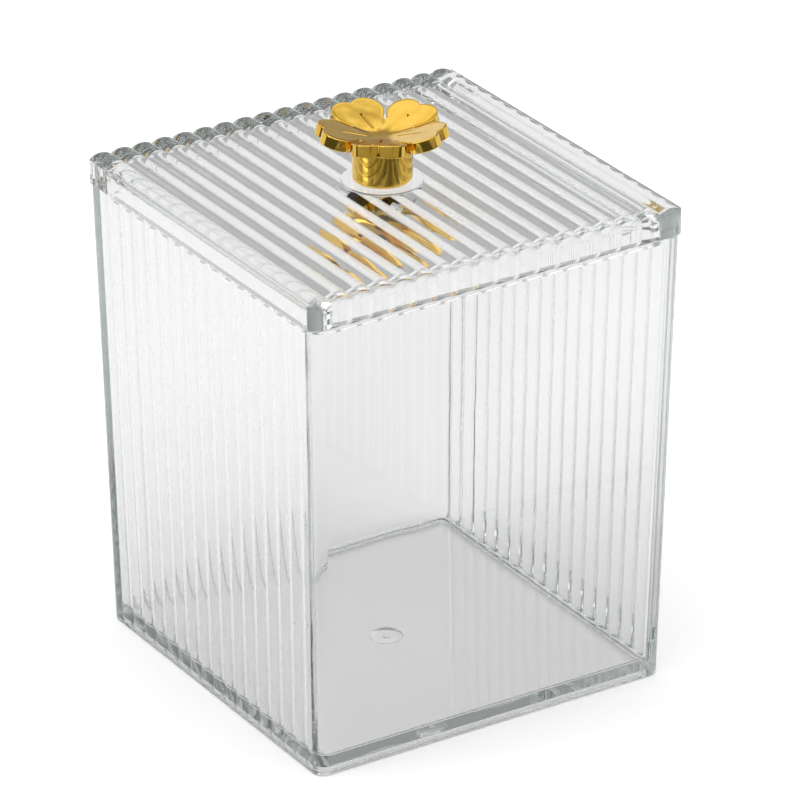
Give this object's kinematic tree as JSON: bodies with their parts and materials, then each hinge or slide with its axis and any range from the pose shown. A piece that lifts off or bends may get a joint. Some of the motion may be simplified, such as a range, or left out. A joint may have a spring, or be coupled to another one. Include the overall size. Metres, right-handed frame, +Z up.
{
  "type": "cotton storage jar",
  "caption": "Clear square reeded storage jar for cotton pads and swabs, with a lift-off reeded lid that plugs into its mouth and a gold flower knob.",
  "frame": {"origin": "centre of the underside of the jar", "axes": "+Z up; the plain front wall faces -Y, the plain back wall faces +Y, and the reeded side walls face -X and +X; a petal of the knob points to +Y"},
  "size_m": [0.084, 0.084, 0.1135],
  "materials": {
    "clear_plastic": "clear polished moulding with a faint cool tint",
    "gold_plating": "mirror-bright gold plating"
  },
  "bodies": {
    "jar": {"jar_body": "clear_plastic"},
    "lid": {"lid": "clear_plastic", "knob": "gold_plating"}
  },
  "joints": [
    {"name": "lid_lift", "type": "slide", "parent": "jar", "child": "lid", "axis": [0, 0, 1], "range_m": [0, 0.06]}
  ]
}
